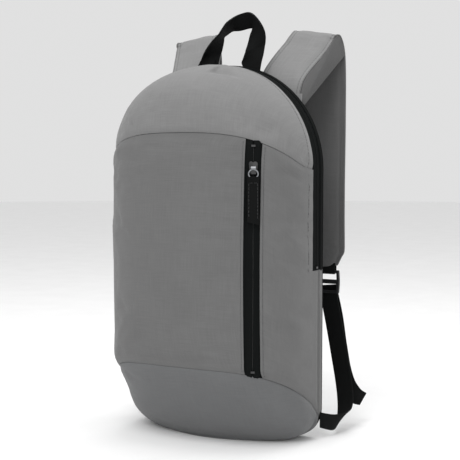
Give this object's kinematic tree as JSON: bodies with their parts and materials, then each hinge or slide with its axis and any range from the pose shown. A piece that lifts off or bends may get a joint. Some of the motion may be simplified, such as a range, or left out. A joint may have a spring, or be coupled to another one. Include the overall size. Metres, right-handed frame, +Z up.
{
  "type": "daypack",
  "caption": "Small grey daypack with an arched main zip, a straight front pocket zip, a haul handle and two padded shoulder straps.",
  "frame": {"origin": "middle of the flat base, on the surface the bag stands on", "axes": "+Z up, the front with the pocket zip faces -Y and the back panel with the straps faces +Y, +X is the right-hand side seen from the front"},
  "size_m": [0.2562, 0.2047, 0.4589],
  "materials": {
    "pack_cloth": "matt, plain weave",
    "base_cloth": "matt, plain weave",
    "yoke_cloth": "matt, plain weave",
    "back_cloth": "matt, open spacer mesh",
    "lining_cloth": "slightly shiny, thin plain weave",
    "foam": "matt closed-cell foam",
    "strap_cloth": "matt, plain weave",
    "strap_lining_cloth": "matt, spacer mesh",
    "handle_webbing": "ribbed polyester webbing",
    "black_webbing": "ribbed polyester webbing",
    "zip_tape": "fine twill tape",
    "zip_coil": "nylon monofilament",
    "zip_metal": "nickel plated die-cast zinc",
    "pull_tab": "folded polyester webbing",
    "buckle_plastic": "moulded acetal"
  },
  "bodies": {
    "pack": {"front_panel": "pack_cloth", "side_panel": "pack_cloth", "top_yoke": "yoke_cloth", "bottom_panel": "base_cloth", "pocket_lining": "lining_cloth", "base_panel": "base_cloth", "back_lining": "lining_cloth", "back_foam": "foam", "back_panel": "back_cloth", "seam_binding": "lining_cloth", "main_zip_tape_back": "zip_tape", "main_zip_tape_front": "zip_tape", "main_zip_coil_back": "zip_coil", "main_zip_coil_front": "zip_coil", "main_zip_stops": "zip_metal", "pocket_zip_tape_left": "zip_tape", "pocket_zip_tape_right": "zip_tape", "pocket_zip_coil_left": "zip_coil", "pocket_zip_coil_right": "zip_coil", "pocket_zip_stops": "zip_metal", "anchor_band": "back_cloth", "strap_end_left": "strap_cloth", "strap_end_right": "strap_cloth"},
    "upper_slider": {"main_slider_upper": "zip_metal"},
    "upper_puller": {"main_puller_upper": "zip_metal"},
    "lower_slider": {"main_slider_lower": "zip_metal"},
    "lower_puller": {"main_puller_lower": "zip_metal"},
    "pocket_slider": {"pocket_slider": "zip_metal"},
    "pocket_puller": {"pocket_puller": "zip_metal", "pocket_pull_tab": "pull_tab"},
    "handle": {"haul_handle": "handle_webbing"},
    "strap_left": {"strap_face_left": "strap_cloth", "strap_foam_left": "foam", "strap_lining_left": "strap_lining_cloth", "ladder_lock_left": "buckle_plastic", "lock_loop_left": "black_webbing", "lower_webbing_left": "black_webbing"},
    "tail_left": {"webbing_tail_left": "black_webbing"},
    "strap_right": {"strap_face_right": "strap_cloth", "strap_foam_right": "foam", "strap_lining_right": "strap_lining_cloth", "ladder_lock_right": "buckle_plastic", "lock_loop_right": "black_webbing", "lower_webbing_right": "black_webbing"},
    "tail_right": {"webbing_tail_right": "black_webbing"}
  },
  "joints": [
    {"name": "pocket_zip", "type": "slide", "parent": "pack", "child": "pocket_slider", "axis": [0, -0.0034, -1], "range_m": [-0.012, 0.196]},
    {"name": "pocket_puller_swing", "type": "hinge", "parent": "pocket_slider", "child": "pocket_puller", "pos_m": [0.0825, -0.07111, 0.29156], "axis": [-0.8782, -0.4784, 0], "range_deg": [0, 160]},
    {"name": "main_zip_upper", "type": "hinge", "parent": "pack", "child": "upper_slider", "pos_m": [0, 0.016, 0.289], "axis": [0, 1, 0], "range_deg": [0, 170]},
    {"name": "upper_puller_swing", "type": "hinge", "parent": "upper_slider", "child": "upper_puller", "pos_m": [-0.11434, 0.016, 0.30037], "axis": [0, 1, 0], "range_deg": [0, 160]},
    {"name": "main_zip_lower", "type": "slide", "parent": "pack", "child": "lower_slider", "axis": [0, 0, -1], "range_m": [0, 0.084]},
    {"name": "lower_puller_swing", "type": "hinge", "parent": "lower_slider", "child": "lower_puller", "pos_m": [-0.1149, 0.016, 0.278], "axis": [0, 1, 0], "range_deg": [0, 140]},
    {"name": "handle_fold", "type": "hinge", "parent": "pack", "child": "handle", "pos_m": [0, 0.02745, 0.4004], "axis": [1, 0, 0], "range_deg": [-35, 80], "stiffness_Nm_per_rad": 0.05},
    {"name": "strap_swing_left", "type": "hinge", "parent": "pack", "child": "strap_left", "pos_m": [-0.0596, 0.0438, 0.402], "axis": [0.1269, 0.0424, 0.991], "range_deg": [-5, 25], "stiffness_Nm_per_rad": 0.3},
    {"name": "tail_swing_left", "type": "hinge", "parent": "strap_left", "child": "tail_left", "pos_m": [-0.086, 0.104, 0.149], "axis": [1, 0, 0], "range_deg": [0, 30]},
    {"name": "strap_swing_right", "type": "hinge", "parent": "pack", "child": "strap_right", "pos_m": [0.0596, 0.0438, 0.402], "axis": [0.1269, -0.0424, -0.991], "range_deg": [-5, 25], "stiffness_Nm_per_rad": 0.3},
    {"name": "tail_swing_right", "type": "hinge", "parent": "strap_right", "child": "tail_right", "pos_m": [0.086, 0.104, 0.149], "axis": [1, 0, 0], "range_deg": [0, 30]}
  ]
}
